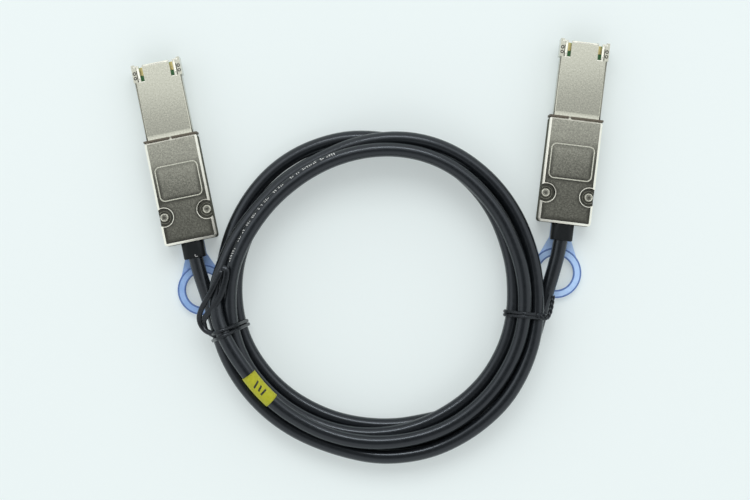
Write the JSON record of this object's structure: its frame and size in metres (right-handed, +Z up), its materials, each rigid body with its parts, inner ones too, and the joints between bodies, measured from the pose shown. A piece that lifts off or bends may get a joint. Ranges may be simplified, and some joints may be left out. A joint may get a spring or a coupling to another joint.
{
  "type": "mini sas cable",
  "caption": "External data cable with a metal latching plug at either end, blue ring pull tabs, and a round black cable wound into a flat coil held by twist ties.",
  "frame": {"origin": "on the floor, in the middle of the box round both plugs", "axes": "+X from the left plug to the right plug, +Y the way the plugs point, +Z up from the floor"},
  "size_m": [0.1932, 0.1718, 0.0171],
  "materials": {
    "shell": "nickel-plated zinc, satin",
    "nose": "nickel-plated, satin",
    "gasket": "conductive elastomer",
    "board": "green solder mask",
    "gold": "gold-plated",
    "steel": "bright",
    "tab": "moulded, semi-matte",
    "boot": "moulded",
    "ferrule": "tinned",
    "wires": "insulated pairs",
    "potting": "moulded",
    "cable": "smooth jacket",
    "tie": "flat plastic band",
    "label": "printed film"
  },
  "bodies": {
    "cable": {"left_cover_half": "shell", "left_latch_half": "shell", "left_nose_shell": "nose", "left_emi_collar": "gasket", "left_paddle_card": "board", "left_contact_pads": "gold", "left_latch_pin": "steel", "left_shell_screws": "steel", "left_boot": "boot", "left_crimp_ferrule": "ferrule", "left_conductor_fan": "wires", "left_wire_block": "potting", "left_lead": "cable", "left_twist_tie": "tie", "right_cover_half": "shell", "right_latch_half": "shell", "right_nose_shell": "nose", "right_emi_collar": "gasket", "right_paddle_card": "board", "right_contact_pads": "gold", "right_latch_pin": "steel", "right_shell_screws": "steel", "right_boot": "boot", "right_crimp_ferrule": "ferrule", "right_conductor_fan": "wires", "right_wire_block": "potting", "right_lead": "cable", "right_twist_tie": "tie", "cable_coil": "cable", "marker_label": "label"},
    "left_rocker": {"left_latch": "steel"},
    "left_tab": {"left_pull_link": "steel", "left_pull_tab": "tab"},
    "right_rocker": {"right_latch": "steel"},
    "right_tab": {"right_pull_link": "steel", "right_pull_tab": "tab"}
  },
  "joints": [
    {"name": "left_tab_slide", "type": "slide", "parent": "cable", "child": "left_tab", "axis": [0.1994, -0.9799, 0], "range_m": [0, 0.0024], "stiffness_N_per_m": 800},
    {"name": "left_latch_tilt", "type": "hinge", "parent": "cable", "child": "left_rocker", "pos_m": [-0.08121, 0.01917, 0.0026], "axis": [0.9799, 0.1994, 0], "range_deg": [0, 3.3]},
    {"name": "right_tab_slide", "type": "slide", "parent": "cable", "child": "right_tab", "axis": [-0.1201, -0.9928, 0], "range_m": [0, 0.0024], "stiffness_N_per_m": 800},
    {"name": "right_latch_tilt", "type": "hinge", "parent": "cable", "child": "right_rocker", "pos_m": [0.08332, 0.02696, 0.0026], "axis": [0.9928, -0.1201, 0], "range_deg": [0, 3.3]}
  ],
  "couplings": [
    {"joint": "left_latch_tilt", "follows": "left_tab_slide", "rad_per_m": 23.271},
    {"joint": "right_latch_tilt", "follows": "right_tab_slide", "rad_per_m": 23.271}
  ]
}
